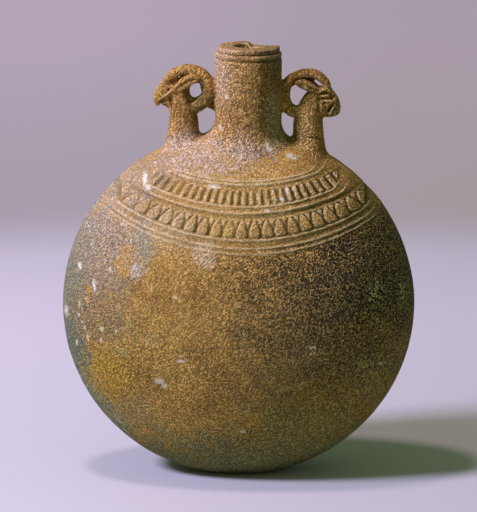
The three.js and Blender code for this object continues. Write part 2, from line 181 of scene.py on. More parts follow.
RIGHT = {
    "side": 1,
    "ibex_neck": [
        (22.6, 110, 6.9, 7.9), (22.4, 119, 6.2, 7.3), (22, 124.5, 5.75, 6),
        (21.8, 130, 5.5, 5.1), (22.1, 134, 5, 4.6), (22.8, 138, 3.8, 3.9),
        (23.8, 141.3, 2.5, 3.1),
    ],
    "skull": [
        (24.2, 142.2, 1.7, 2.4), (26.7, 141.8, 2.5, 3), (28.9, 140.6, 2.9, 3.2),
        (30.2, 138.6, 2.95, 3), (31.2, 136.9, 2.5, 2.6), (31.5, 135.6, 2.1, 2.2),
    ],
    "crest": [
        (29.2, 142.6, 1.2, 1.6), (28.2, 143.3, 1.3, 1.7), (26.4, 142.6, 1.2, 1.7),
    ],
    "jaw": [
        (26.3, 137.6, 2.2, 3), (27.6, 135.9, 2.4, 2.9), (29.4, 134.9, 2.1, 2.5),
        (31, 135, 1.7, 2.1),
    ],
    "horns": [
        (29.3, 143.2, 0.95, 2.2), (28.5, 145.3, 1.3, 2.6), (27, 147, 1.45, 2.9),
        (25, 148.4, 1.45, 3.1), (22.6, 149, 1.45, 3.2), (19.9, 148.9, 1.4, 3.3),
        (17.2, 148, 1.4, 3.3), (14.9, 146.3, 1.65, 3.3), (13.8, 143.6, 1.7, 3.3),
        (13.4, 140.8, 1.85, 3.3), (13.7, 138.2, 2, 3.3), (14.7, 136.3, 2.05, 3.3),
        (16.3, 135.2, 2.1, 3.2), (18.3, 135, 1.9, 3), (20, 135.2, 1.3, 2.8),
    ],
    "ear": [
        (27.6, 143.3, 0.8, 0.9, 2.7), (25.2, 143.2, 1.1, 1, 3.2), (22.8, 144.3, 1.7, 1.1, 3.5),
        (20.6, 145.4, 1.9, 1.1, 3.6), (18.7, 145.9, 1.4, 1, 3.6), (17.6, 146.1, 0.8, 0.9, 3.5),
    ],
    "web": [
        (15.6, 145, 1, 1), (16.8, 146, 1.2, 1), (18.4, 145.6, 1.1, 1),
        (20.2, 144.6, 1.1, 1), (22.4, 145.6, 1.3, 1), (23.2, 147, 1, 1),
    ],
    "head_marks": [
        (25.2, 142.1, 28.2, 142.3, 0.38, 0.85), (26.7, 140.3, 30.4, 140.2, 0.38, 0.85),
        (26.6, 141.2, 29, 141.2, 0.4, -0.45), (29.8, 141.3, 31, 140.6, 0.8, 0.5),
        (26.6, 139.3, 30.6, 139.3, 0.4, -0.3), (28.8, 133.8, 29.2, 135.4, 0.45, 0.5),
        (29.2, 135.6, 30.6, 137.6, 0.45, 0.65), (26.3, 137.9, 26.9, 137.2, 1.1, -0.35),
        (25.7, 140.2, 25.4, 134.9, 0.42, 0.8), (29.9, 135.2, 30.7, 136.6, 0.45, -0.4),
        (32.6, 138.9, 32.8, 138.6, 0.3, 0.35),
    ],
    "neck_marks": [
        (19.9, 126.5, 22.8, 126.1, 0.35, 0.4), (23.4, 126, 26, 125.6, 0.35, 0.4),
    ],
    "ear_marks": [(25.4, 143.2, 22.6, 144.3, 0.45, 0.7), (22.6, 144.3, 19.4, 145.8, 0.5, 0.75)],
}

# Block of space that a handle is cut out of, and the size of its cells

HANDLE_LOW = np.array([9.0, -10.5, 112.5])
HANDLE_HIGH = np.array([36.3, 10.5, 154.5])
VOXEL = 0.3

# Fine forms of the handles, and the fillets where their parts meet

HORN_KNOB_SPACING = 1.5
HORN_KNOB_HEIGHT = 0.05
HORN_MIDDLE_SHARE = 0.49
FOOT_FILLET = 2.2
HEAD_FILLET = 1.8
JAW_FILLET = 1.0
CREST_FILLET = 0.6
HORN_FILLET = 0.8
THIN_FILLET = 0.5
BURIED_DEPTH = 0.8
FILM = 0.1
SEAM_OVERLAP = 0.4
SEAM_SLOPE = 0.5  # how steeply a piece dives under its neighbour at their seam

# Collar. Its lines are arcs of one radius, and each has a height above the body's centre
# at its lowest point, an end on the left and on the right, and how far it stands out.

COLLAR_RADIUS = 109.0
COLLAR_MIDDLE = 3.5
COLLAR_LINES = [
    (50.2, -26, 25, 0.3),
    (49, -29, 28.5, 0.3),
    (41.6, -35, 33.5, 0.34),
    (39.4, -39, 36.5, 0.34),
    (30.1, -48, 45.5, 0.36),
    (27.3, -49.5, 47, 0.34),
    (25.3, -51, 49, 0.4),
]
CURL_LENGTH = 4.0
CURL_HEIGHT = 1.6
LINE_HALF_WIDTH = 0.3
LINE_FADE = 1.0
LINE_WAVER = 0.1  # how far the lumps of the collar's unevenness push a line aside
WAVER_SIZE = 1.6

# Grounds sunk between the lines: from, to, left, right, depth

COLLAR_GROUNDS = [
    (49.1, 50.1, -26, 25, 0.1),
    (47.4, 48.9, -29, 28.5, 0.2),
    (41.8, 47.4, -34.5, 33, 0.35),
    (39.6, 41.4, -38, 36, 0.12),
    (37.2, 39.3, -43, 39.5, 0.25),
    (30.4, 37.2, -48, 44, 0.4),
    (27.5, 29.9, -49, 46, 0.15),
    (25.5, 27.1, -50.5, 48, 0.12),
]
GROUND_EDGE = 0.8
GROUND_FADE = 2.0
# depth of a sunk ground at which its painted shade is full
SHADED_GROUND_DEPTH = 0.35

# Rows of shapes. The shift is of the whole row, the lean is of each shape's foot outwards.

BAR_ROW = {
    "low": 42.0, "high": 47.1, "pitch": 2.7, "left": -34.5, "right": 32.5,
    "shift": 1.35, "lean": 1.0, "height": 0.75, "edge": 0.45,
}
PETAL_ROW = {
    "low": 30.8, "high": 37.0, "pitch": 4.55, "left": -46.0, "right": 42.5,
    "shift": 2.28, "lean": 0.6, "height": 0.85, "edge": 0.45,
}
WEDGE_ROW = {**PETAL_ROW, "shift": 0.0, "height": 0.65, "edge": 0.35}
ROW_FADE = 0.3
ROW_WAVER = 0.12
SHAPE_WAVER = 0.15
SHAPE_END_SHARE = 0.1
SHAPE_CREST_SHARE = 0.8
BAR_WIDTH_SHARE = 0.31
BAR_BULGE_SHARE = 0.03
PETAL_HEIGHT_SHARES = [0, 0.08, 0.2, 0.4, 0.6, 0.8, 1]
PETAL_WIDTH_SHARES = [0.3, 0.38, 0.43, 0.43, 0.38, 0.27, 0.1]
WEDGE_HEIGHT_SHARES = [0.45, 0.97]
WEDGE_WIDTH_SHARES = [0, 0.26]

# Random numbers on a lattice, which repeats after so many lumps

LATTICE = 48
generator = np.random.default_rng(7)
lattice = generator.random((LATTICE, LATTICE, LATTICE))


def smooth_step(value, low, high):
    share = np.clip((value - low) / (high - low), 0, 1)
    return share * share * (3 - 2 * share)


def lumps(points, size):
    """Smooth random heights from -1 to 1 at points, in lumps of a size."""
    place = points / size
    cell = np.floor(place).astype(int)
    share = smooth_step(place - cell, 0, 1)
    total = np.zeros(points.shape[:-1])
    for corner in np.ndindex(2, 2, 2):
        weight = np.prod(np.where(corner, share, 1 - share), axis=-1)
        i, j, k = np.moveaxis((cell + corner) % LATTICE, -1, 0)
        total += weight * lattice[i, j, k]
    return 2 * total - 1


def uneven(points, sizes_and_heights):
    """Lumps of several sizes, one upon another."""
    return sum(height * lumps(points, size) for size, height in sizes_and_heights)


def span(value, low, high, rise, fall):
    """One between low and high, zero outside, with a smooth rise and fall just inside."""
    return smooth_step(value, low, low + rise) * smooth_step(high - value, 0, fall)


# Meshes

def add_object(name, data):
    item = bpy.data.objects.new(name, data)
    bpy.context.scene.collection.objects.link(item)
    return item


def add_piece(name, points, faces, node, material, masks=None):
    """A closed mesh that stands for a node. The masks are numbers at its points for the material."""
    mesh = bpy.data.meshes.new(name)
    mesh.from_pydata((points * MILLIMETRE).tolist(), [], faces)
    for key, values in (masks or {}).items():
        mesh.attributes.new(key, "FLOAT", "POINT").data.foreach_set("value", values)
    edit = bmesh.new()
    edit.from_mesh(mesh)
    loose = [vertex for vertex in edit.verts if not vertex.link_faces]
    bmesh.ops.delete(edit, geom=loose, context="VERTS")
    bmesh.ops.recalc_face_normals(edit, faces=edit.faces)
    edit.to_mesh(mesh)
    edit.free()
    mesh.shade_smooth()
    mesh.materials.append(material)
    piece = add_object(name, mesh)
    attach(piece, "root")
    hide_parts(node)
    return piece


def wear(piece):
    """Moves each point of a piece along its normal by the weather."""
    mesh = piece.data
    count = len(mesh.vertices) * 3
    places = np.empty(count)
    normals = np.empty(count)
    mesh.vertices.foreach_get("co", places)
    mesh.vertices.foreach_get("normal", normals)
    places = places.reshape(-1, 3) / MILLIMETRE
    places += normals.reshape(-1, 3) * uneven(places, WEATHER_LUMPS)[:, None]
    mesh.vertices.foreach_set("co", (places * MILLIMETRE).ravel())
    mesh.update()


# Body

def spaced(spans):
    """Places from -1 to 1 with a number of steps in each span."""
    starts = [np.linspace(low, high, steps, endpoint=False) for low, high, steps in spans]
    return np.concatenate([*starts, [1.0]])


def lens(columns, rows, radius, half_thickness, side):
    """A half lens as a grid of points: the square of columns and rows is drawn onto a round face."""
    column, row = np.meshgrid(columns, rows, indexing="ij")
    across = column * np.sqrt(1 - row * row / 2)
    up = row * np.sqrt(1 - column * column / 2)
    reach = np.hypot(across, up)
    turn = np.clip(reach, 0, 1) * math.pi / 2
    share = radius * np.sin(turn) / np.maximum(reach, 1e-9)
    return np.stack([share * across, side * half_thickness * np.cos(turn), share * up], -1)


def row_of_shapes(along, height, row, outline):
    """Raised shapes repeated along a row. The outline gives half a width, as a share of the pitch."""
    share_up = (height - row["low"]) / (row["high"] - row["low"])
    number = np.round(along / row["pitch"])
    offset = np.abs(along / row["pitch"] - number)
    half_width = outline(share_up)
    inside = smooth_step((half_width - offset) * row["pitch"], 0, row["edge"])
    return inside * span(share_up, 0, 1, SHAPE_END_SHARE, SHAPE_END_SHARE)


def collar(x, z):
    """The collar at a place of the face: height over the lens, how far it is a crest, which is painted
    pale, and how far painted shade lies in its sunk grounds.
    """
    out = x - COLLAR_MIDDLE
    waver = lumps(np.stack([x, 0 * x, z], -1), WAVER_SIZE)
    arc = COLLAR_RADIUS - np.sqrt(np.maximum(COLLAR_RADIUS ** 2 - out ** 2, 1))
    level = z - arc

    def within(left, right, fade):
        return span(out, left - fade, right + fade, 2 * fade, 2 * fade)

    relief = np.zeros_like(out)
    for low, high, left, right, depth in COLLAR_GROUNDS:
        ground = span(level, low, high, GROUND_EDGE, GROUND_EDGE)
        relief -= depth * ground * within(left, right, GROUND_FADE)
    hollow = np.clip(-relief / SHADED_GROUND_DEPTH, 0, 1)

    crest = np.zeros_like(out)
    for middle, left, right, height in COLLAR_LINES:
        curl = CURL_HEIGHT * np.clip((out - right + CURL_LENGTH) / CURL_LENGTH, 0, 1) ** 2
        gap = (level - middle - curl - LINE_WAVER * waver) / LINE_HALF_WIDTH
        line = np.exp(-gap * gap) * within(left, right, LINE_FADE)
        relief += height * line
        crest = np.maximum(crest, line)

    for row, outline in COLLAR_ROWS:
        middle = (row["low"] + row["high"]) / 2
        turn = np.arctan2(out, COLLAR_RADIUS + middle - z)
        lean = 1 + row["lean"] * (level - middle) / BODY_RADIUS
        along = turn * COLLAR_RADIUS * lean + row["shift"] + ROW_WAVER * waver
        shapes = row_of_shapes(along, level + SHAPE_WAVER * waver, row, outline)
        shapes = shapes * within(row["left"], row["right"], ROW_FADE)
        relief += row["height"] * shapes
        crest = np.maximum(crest, 4 * shapes * (1 - shapes) * SHAPE_CREST_SHARE)
        hollow = hollow * (1 - shapes)
    return relief, crest, hollow * (1 - crest)


def bar(share_up):
    return BAR_WIDTH_SHARE + BAR_BULGE_SHARE * np.sin(share_up * math.pi)


def petal(share_up):
    return np.interp(share_up, PETAL_HEIGHT_SHARES, PETAL_WIDTH_SHARES)


def wedge(share_up):
    return np.interp(share_up, WEDGE_HEIGHT_SHARES, WEDGE_WIDTH_SHARES)


COLLAR_ROWS = [(BAR_ROW, bar), (PETAL_ROW, petal), (WEDGE_ROW, wedge)]


def shell_faces(columns, rows, kept):
    """Faces between a fine outside and a coarse inside, walled around the blocks that are left out."""
    def fine(i, j):
        return i * (rows + 1) + j

    block_rows = kept.shape[1]
    first_inner = (columns + 1) * (rows + 1)

    def coarse(i, j):
        return first_inner + i * (block_rows + 1) + j

    fine_kept = np.kron(kept, np.ones((BLOCK, BLOCK), bool))
    faces = []
    for cells, corner in ((fine_kept, fine), (kept, coarse)):
        i, j = np.nonzero(cells)
        quads = np.stack([corner(i, j), corner(i + 1, j), corner(i + 1, j + 1), corner(i, j + 1)], -1)
        faces += quads.tolist()
    bordered = np.pad(kept, 1)
    for i, j in np.argwhere(kept).tolist():
        for step_i, step_j in ((-1, 0), (1, 0), (0, -1), (0, 1)):
            if bordered[i + 1 + step_i, j + 1 + step_j]:
                continue
            if step_i:
                edge_i = i + max(step_i, 0)
                outside = [fine(edge_i * BLOCK, j * BLOCK + step) for step in range(BLOCK + 1)]
                inside = [coarse(edge_i, j + 1), coarse(edge_i, j)]
            else:
                edge_j = j + max(step_j, 0)
                outside = [fine(i * BLOCK + step, edge_j * BLOCK) for step in range(BLOCK + 1)]
                inside = [coarse(i + 1, edge_j), coarse(i, edge_j)]
            faces.append(outside + inside)
    return faces


def lens_normals(points):
    slopes = points / BODY_RADII ** 2
    return slopes / np.linalg.norm(slopes, axis=-1, keepdims=True)


def body_half(name, node, side, material):
    columns = spaced(COLUMN_SPANS)
    rows = spaced(ROW_SPANS)
    outer = lens(columns, rows, BODY_RADIUS, BODY_HALF_THICKNESS, side)
    inner_radius = BODY_RADIUS - BODY_WALL
    inner_half_thickness = BODY_HALF_THICKNESS - BODY_WALL
    inner = lens(columns[::BLOCK], rows[::BLOCK], inner_radius, inner_half_thickness, side)

    x, y, z = np.moveaxis(outer, -1, 0)
    place = outer + BODY_CENTRE
    relief, crest, hollow = collar(x, z)
    left_share = RELIEF_SHARE + uneven(place, RELIEF_LUMPS)
    seam = SEAM_DEPTH * np.exp(-(y / SEAM_HALF_WIDTH) ** 2) * (SEAM_SHARE + uneven(place, SEAM_LUMPS))
    height = uneven(place, WEATHER_LUMPS) + relief * left_share - seam - WORN_DEPTH
    outer = place + lens_normals(outer) * height[..., None]
    outer[..., 2] = np.maximum(outer[..., 2], 0)
    inner = inner + BODY_CENTRE

    middles = (inner[:-1, :-1] + inner[1:, 1:]) / 2
    above = middles[..., 2] > BODY_CENTRE[2]
    kept = ~((np.hypot(middles[..., 0] - NECK_AXIS, middles[..., 1]) < HOLE_RADIUS) & above)
    faces = shell_faces(len(columns) - 1, len(rows) - 1, kept)
    points = np.concatenate([outer.reshape(-1, 3), inner.reshape(-1, 3)])
    blank = np.zeros(inner[..., 0].size)
    # masks of the collar: its crests, painted pale as crust with a painted highlight, and its sunk grounds,
    # painted with shade
    masks = {
        "crest": np.concatenate([crest.ravel(), blank]),
        "hollow": np.concatenate([hollow.ravel(), blank]),
    }
    return add_piece(name, points, faces, node, material, masks)


# Bottle neck

def body_distance(x, y, z):
    """Distance from the worn lens, below zero inside it."""
    shares = [x / BODY_RADII[0], y / BODY_RADII[1], (z - BODY_CENTRE[2]) / BODY_RADII[2]]
    size = np.sqrt(sum(share ** 2 for share in shares))
    slope = np.sqrt(sum((share / radius) ** 2 for share, radius in zip(shares, BODY_RADII)))
    return size * (size - 1) / slope + WORN_DEPTH


def above_body(radius, turn, lift):
    """Heights on a circle around the neck's axis that lie a lift above the body, found step by step."""
    x = NECK_AXIS + radius * np.cos(turn)
    y = radius * np.sin(turn)
    height = np.full_like(turn, BODY_CENTRE[2] + BODY_RADIUS)
    for _ in range(SETTLING_STEPS):
        height += (lift - body_distance(x, y, height)) * SETTLING_SHARE
    return height


def bottle_neck(material):
    turn = np.arange(NECK_SIDES) / NECK_SIDES * 2 * math.pi
    rings = []

    def add_ring(radius, height):
        x = NECK_AXIS + radius * np.cos(turn)
        y = radius * np.sin(turn)
        rings.append(np.stack([x, y, np.broadcast_to(height, turn.shape)], -1))

    bore_top = FLASK_HEIGHT - BORE_ROUNDING
    for height in np.arange(TENON_BOTTOM, bore_top, BORE_RING_SPACING):
        add_ring(BORE_RADIUS, height)
    add_ring(BORE_RADIUS, bore_top)
    bend = BORE_BEND_SHARE * BORE_ROUNDING
    add_ring(BORE_RADIUS + bend, FLASK_HEIGHT - bend)
    heights, radii = np.array(LIP_ROWS).T
    along = np.concatenate([[0], np.cumsum(np.hypot(np.diff(heights), np.diff(radii)))])
    for place in np.arange(0, along[-1], LIP_RING_SPACING):
        add_ring(np.interp(place, along, radii), np.interp(place, along, heights))
    stem_bottom = above_body(NECK_RADIUS, turn, FLARE)
    for share in np.linspace(0, 1, STEM_RINGS):
        add_ring(NECK_RADIUS, LIP_ROWS[-1][0] * (1 - share) + stem_bottom * share)
    for share in np.linspace(1, 0, FOOT_RINGS)[1:]:
        radius = NECK_RADIUS + FLARE * (1 - share) ** 2
        add_ring(radius, above_body(radius, turn, FLARE * share ** 2 - FILM * (1 - share)))
    foot_radius = NECK_RADIUS + FLARE
    add_ring(foot_radius, above_body(foot_radius, turn, -BURIED_DEPTH))
    add_ring(TENON_RADIUS, above_body(TENON_RADIUS, turn, -BURIED_DEPTH))
    add_ring(TENON_RADIUS, TENON_BOTTOM)

    points = np.array(rings)
    chip_lip(points)
    number = np.arange(points.shape[0] * points.shape[1]).reshape(points.shape[:2])
    after = np.roll(number, -1, 1)
    corners = [number, after, np.roll(after, -1, 0), np.roll(number, -1, 0)]
    faces = np.stack(corners, -1).reshape(-1, 4).tolist()
    points = points.reshape(-1, 3)
    piece = add_piece("fired_bottle_neck", points, faces, "bottle_neck", material)
    wear(piece)
    return piece


def chip_lip(points):
    """Breaks away the lip at the back on the right."""
    x, y, z = np.moveaxis(points, -1, 0)
    turn = np.degrees(np.arctan2(y, x - NECK_AXIS))
    broken = span(turn, 0, BREAK_END, BREAK_RISE, BREAK_FALL)
    top = FLASK_HEIGHT - broken * (BREAK_DEPTH + uneven(points, BREAK_LUMPS))
    points[..., 2] = np.where(z > top, top, z)


# Handles

def smooth_path(rows, steps=8):
    """A smooth curve through rows of numbers, with the length along it as a last number."""
    rows = np.array(rows)
    padded = np.concatenate([[2 * rows[0] - rows[1]], rows, [2 * rows[-1] - rows[-2]]])
    path = []
    for before, start, end, after in zip(padded, padded[1:], padded[2:], padded[3:]):
        for share in np.arange(steps) / steps:
            path.append(0.5 * (2 * start + (end - before) * share
                               + (2 * before - 5 * start + 4 * end - after) * share ** 2
                               + (3 * start - before - 3 * end + after) * share ** 3))
    path = np.array([*path, rows[-1]])
    lengths = np.hypot(*np.diff(path[:, :2], axis=0).T)
    along = np.concatenate([[0], np.cumsum(lengths)])
    return np.column_stack([path, along])


def nearest_row(path, out, up):
    """The row of a path whose circle comes nearest to each place of the picture plane, and its distance."""
    least = np.full(np.broadcast(out, up).shape, np.inf)
    found = np.zeros(least.shape + (path.shape[1],))
    for start, end in zip(path, path[1:]):
        step = end - start
        length = step[0] ** 2 + step[1] ** 2
        share = np.clip(((out - start[0]) * step[0] + (up - start[1]) * step[1]) / length, 0, 1)
        row = start + share[..., None] * step
        distance = np.hypot(out - row[..., 0], up - row[..., 1])
        nearer = distance - row[..., 2] < least
        least = np.where(nearer, distance - row[..., 2], least)
        found = np.where(nearer[..., None], row, found)
    return found, np.hypot(out - found[..., 0], up - found[..., 1])


def limb(rows, out, across, up):
    """Distance from a limb of oval section."""
    row, distance = nearest_row(smooth_path(rows), out, up)
    size, depth = row[..., 2], row[..., 3]
    middle = row[..., 4] if len(rows[0]) > 4 else 0
    return np.hypot(distance, (across - middle) * size / depth) - size


def horn_pair(rows, out, across, up):
    """Distance from two horns that lie side by side, with knobs along them."""
    row, distance = nearest_row(smooth_path(rows), out, up)
    size, depth, along = row[..., 2], row[..., 3], row[..., 4]
    middle = depth * HORN_MIDDLE_SHARE
    knob = HORN_KNOB_HEIGHT * np.cos(along * 2 * math.pi / HORN_KNOB_SPACING)
    return np.hypot(distance, (np.abs(across) - middle) * size / (depth - middle)) - size - knob


def marks(rows, out, up):
    """Depth of dents, less the height of ridges, at each place of the picture plane."""
    total = 0.0
    for from_out, from_up, to_out, to_up, half_width, depth in rows:
        step_out, step_up = to_out - from_out, to_up - from_up
        length = step_out ** 2 + step_up ** 2
        share = np.clip(((out - from_out) * step_out + (up - from_up) * step_up) / length, 0, 1)
        gap = np.hypot(out - from_out - share * step_out, up - from_up - share * step_up)
        total = total + depth * np.exp(-(gap / half_width) ** 2)
    return total


def joined(one, two, radius):
    """Two shapes joined with a fillet."""
    share = np.clip(0.5 + 0.5 * (two - one) / radius, 0, 1)
    return two + (one - two) * share - radius * share * (1 - share)


def surface(values, low, step):
    """Points and faces of the surface where a block of values crosses zero."""
    keys = []
    places = []
    rings = []
    axes = np.eye(3, dtype=int)
    for axis in range(3):
        ahead = np.roll(values, -1, axis)
        crossing = (values < 0) != (ahead < 0)
        start = np.argwhere(crossing)
        here, there = values[crossing], ahead[crossing]
        place = start + (here / (here - there))[:, None] * axes[axis]
        one, two = axes[(axis + 1) % 3], axes[(axis + 2) % 3]
        backs = (0 * one, one, one + two, two)
        ring = [np.ravel_multi_index((start - back).T, values.shape) for back in backs]
        rings.append(np.stack(ring, -1))
        keys += ring
        places += [place] * len(backs)
    keys = np.concatenate(keys)
    places = np.concatenate(places)
    cells, number = np.unique(keys, return_inverse=True)
    count = np.bincount(number)
    points = np.stack([np.bincount(number, places[:, axis]) / count for axis in range(3)], -1)
    faces = np.searchsorted(cells, np.concatenate(rings))
    return low + points * step, faces.tolist()


def add_handle(name, animal, material):
    """The five pieces of a handle, cut out of one smooth figure."""
    axes = [np.arange(low, high, VOXEL) for low, high in zip(HANDLE_LOW, HANDLE_HIGH)]
    out, across, up = np.meshgrid(*axes, indexing="ij", sparse=True)

    def drawn(key, side=1):
        return limb(animal[key], out, side * across, up)

    neck_post = drawn("ibex_neck") + marks(animal["neck_marks"], out, up)
    face = joined(joined(drawn("skull"), drawn("jaw"), JAW_FILLET), drawn("crest"), CREST_FILLET)
    face = face + marks(animal["head_marks"], out, up)
    horns = joined(horn_pair(animal["horns"], out, across, up), drawn("web"), THIN_FILLET)
    dents = marks(animal["ear_marks"], out, up)
    ears = {"ear_front": drawn("ear", -1) + dents, "ear_back": drawn("ear") + dents}
    parts = {"ibex_neck": neck_post, "ibex_head": face, "horns": horns, **ears}

    x = NECK_AXIS + animal["side"] * out
    stem = np.hypot(out, across) - NECK_RADIUS
    ground = joined(stem, body_distance(x, across, up), FLARE)
    whole = joined(neck_post, face, HEAD_FILLET)
    whole = joined(whole, horns, HORN_FILLET)
    for ear in ears.values():
        whole = joined(whole, ear, THIN_FILLET)
    whole = joined(whole, ground + FILM, FOOT_FILLET)

    for part, own in parts.items():
        others = np.minimum.reduce([other for key, other in parts.items() if key != part])
        beyond = (own - others) / 2
        shape = np.maximum(whole + SEAM_SLOPE * np.maximum(beyond, 0), beyond - SEAM_OVERLAP)
        shape = np.maximum(shape, own - FOOT_FILLET)
        shape = np.maximum(shape, -(ground + BURIED_DEPTH))
        points, faces = surface(shape, HANDLE_LOW, VOXEL)
        points[:, 0] = NECK_AXIS + animal["side"] * points[:, 0]
        node = f"{name}_{part}"
        piece = add_piece(f"fired_{node}", points, faces, node, material)
        wear(piece)


# Materials

def linear(colour):
    """A screen colour of three numbers up to 255 as linear light."""
    shares = [part / 255 for part in colour]
    return [share / 12.92 if share <= 0.04045 else ((share + 0.055) / 1.055) ** 2.4 for share in shares]


class Nodes:
    """Short calls that add nodes to a material."""

    def __init__(self, name):
        self.material = bpy.data.materials.new(name)
        self.material.use_nodes = True
        self.tree = self.material.node_tree
        self.tree.nodes.clear()
        coordinates = self.add("ShaderNodeTexCoord")
        self.place = self.vector("DIVIDE", coordinates.outputs["Object"], (MILLIMETRE,) * 3)

    def add(self, kind, settings=None, **inputs):
        node = self.tree.nodes.new(kind)
        for key, value in (settings or {}).items():
            setattr(node, key, value)
        for key, value in inputs.items():
            self.feed(node.inputs[key.replace("_", " ")], value)
        return node

    def feed(self, socket, value):
        if isinstance(value, bpy.types.NodeSocket):
            self.tree.links.new(value, socket)
        else:
            socket.default_value = value

    def work_out(self, kind, operation, values):
        node = self.add(kind, {"operation": operation})
        for socket, value in zip(node.inputs, values):
            self.feed(socket, value)
        return node.outputs

    def math(self, operation, *values):
        return self.work_out("ShaderNodeMath", operation, values)[0]

    def times(self, one, two):
        return self.math("MULTIPLY", one, two)

    def most(self, one, two):
        return self.math("MAXIMUM", one, two)

    def vector(self, operation, *values):
        outputs = self.work_out("ShaderNodeVectorMath", operation, values)
        return outputs["Value" if operation in ("LENGTH", "DOT_PRODUCT") else "Vector"]

    def along(self, direction):
        """How far a place lies along a direction."""
        return self.vector("DOT_PRODUCT", self.place, direction)

    def total(self, *weighted, start=0.0):
        """The sum of a start and of values times their weights."""
        result = start
        for value, weight in weighted:
            result = self.math("MULTIPLY_ADD", value, weight, result)
        return result

    def steps(self, value, low, high, bottom=0.0, top=1.0):
        """A smooth change from bottom to top as the value goes from low to high."""
        node = self.add("ShaderNodeMapRange", {"interpolation_type": "SMOOTHSTEP"}, Value=value,
                        From_Min=low, From_Max=high, To_Min=bottom, To_Max=top)
        return node.outputs["Result"]

    def noise(self, size, detail, roughness, twist=0.0, place=None, shift=None):
        place = place or self.place
        if shift:
            place = self.vector("ADD", place, shift)
        node = self.add("ShaderNodeTexNoise", Vector=place, Scale=1 / size, Detail=detail,
                        Roughness=roughness, Distortion=twist)
        return node.outputs["Fac"]

    def drawn_out(self, turn, stretch):
        """Places turned about the axis through the face, for noise that is drawn out to the side."""
        node = self.add("ShaderNodeMapping", {"vector_type": "TEXTURE"}, Vector=self.place,
                        Rotation=(0, turn, 0), Scale=(stretch, 1, 1))
        return node.outputs["Vector"]

    def mask(self, name):
        return self.add("ShaderNodeAttribute", {"attribute_name": name}).outputs["Fac"]

    def mix(self, factor, one, two):
        node = self.add("ShaderNodeMix", {"data_type": "RGBA"})
        self.feed(node.inputs["Factor"], factor)
        colours = [socket for socket in node.inputs if socket.type == "RGBA"]
        for socket, colour in zip(colours, (one, two)):
            self.feed(socket, colour if isinstance(colour, bpy.types.NodeSocket) else (*linear(colour), 1))
        return [socket for socket in node.outputs if socket.type == "RGBA"][0]

    def patch(self, centre, radii, edge, ragged):
        """One inside an oval patch with a ragged edge, zero outside."""
        offset = self.vector("SUBTRACT", self.place, centre)
        distance = self.vector("LENGTH", self.vector("DIVIDE", offset, radii))
        return self.steps(self.math("ADD", distance, ragged), 1 + edge, 1 - edge)


ACROSS = (1.0, 0.0, 0.0)
BEHIND = (0.0, 1.0, 0.0)
UP = (0.0, 0.0, 1.0)

# Colours of the layers of the glaze, with the painted shade of its crease lines and the painted highlight
# of its grit

MOSS_COLOUR = (104, 96, 58)
RIM_COLOUR = (104, 116, 104)
CRUST_COLOUR = (224, 198, 206)
CREASE_SHADE_COLOUR = (60, 48, 24)
GRIT_HIGHLIGHT_COLOUR = (224, 182, 118)
SPECK_COLOUR = (226, 206, 180)
FLECK_COLOUR = (250, 236, 236)
PIT_COLOUR = (44, 32, 18)

# Spans: where on the value that it follows a layer begins and where it is full. A span of four
# also has its shares there, which are otherwise none and all.

BASE_SPAN = (0.38, 0.62)
LIGHT_SPAN = (0.5, 0.72, 0, 0.6)
MOSS_SPAN = (0.46, 0.3, 0, 0.35)
CREASE_SPAN = (0.05, 0)
GRIT_HIGHLIGHT_SPAN = (0.4, 1, 0, 0.4)
SPECK_SPAN = (0.8, 0.85, 0, 0.75)
GRAIN_SPAN = (0.4, 0.6)
# painted shade in recesses, stronger towards the right side, which is turned from the lamps
HOLLOW_SHADE_BEND_SPAN = (0.492, 0.45)
HOLLOW_SHADE_SIDE_SPAN = (-10, 40, 0.5, 0.95)
# pale crests: crust on the ridges and a painted highlight
CREST_BEND_SPAN = (0.513, 0.555)
CREST_SIDE_SPAN = (-20, 30, 0.85, 1)
CREST_WEAR_AND_HIGHLIGHT_SPAN = (0.35, 0.6, 0.5, 1)
ROUGHNESS_SPAN = (0.3, 0.7, 0.62, 0.85)

# Weights of the noises that make edges ragged, marks chipped and cover grainy, and that make grit

RAGGED_BLOTS = 1.3
RAGGED_CRUMBS = 1.2
CHIPPED_GRAINS = 2.4
CHIPPED_SAND = 2.2
CHIPPED_START = -2.2
GRAIN_STRENGTH = 1.6
RIM_SPECKS = 0.08
GRIT_SAND = 0.7
GRIT_GRAINS = 0.5

# Span of the grit, and its painted shade between the grains and painted highlight on them: where there are
# no folds, and what folds add

GRIT_LOW = (0.3, 0.12)
GRIT_HIGH = (0.7, 0.03)
SHADE_BETWEEN_GRAINS = (0.8, -0.75)
HIGHLIGHT_ON_GRAINS = (1.4, 2.9)

# Shares of cover and of gloss, and the softness of a mark's edge

CRUST_SHARE = 0.75
CREASE_SHADE_SHARE = 0.6
MARK_SHARE = 0.78
MARK_EDGE = 0.3
SPECULAR_SHARE = 0.25
STAIN_GRAIN_SHARE = 0.5
CREST_GRAIN_SHARE = 0.6

# Leathery part of the body: an oval on the right, and the foot. Above the collar it is weaker. It also sets
# how strong the painted shade and highlight of the grit and of the crease lines are.

ROUGH_CENTRE = (57, 0, 89)
ROUGH_RADII = (82, 400, 68)
ROUGH_SPAN = (1.3, 0.2)
ROUGH_RAGGED = 0.5
ROUGH_FOOT_SPAN = (80, 50)
ROUGH_FOOT_SHARE = 0.55
COLLAR_BEND = 0.0046  # rise of the collar over the square of the way from its middle
OVER_COLLAR_SPAN = (85, 91, 1, 0.6)

# Folds: their turn and stretch, and heights in the bump of all that stands out

FOLD_TURN = -0.8
FOLD_STRETCH = 2.6
FOLD_HEIGHT = 1.4
CREASE_HEIGHT = -0.15
SAND_HEIGHT = 0.2
MEDIUM_HEIGHT = 0.4
CRUST_HEIGHT = 0.06

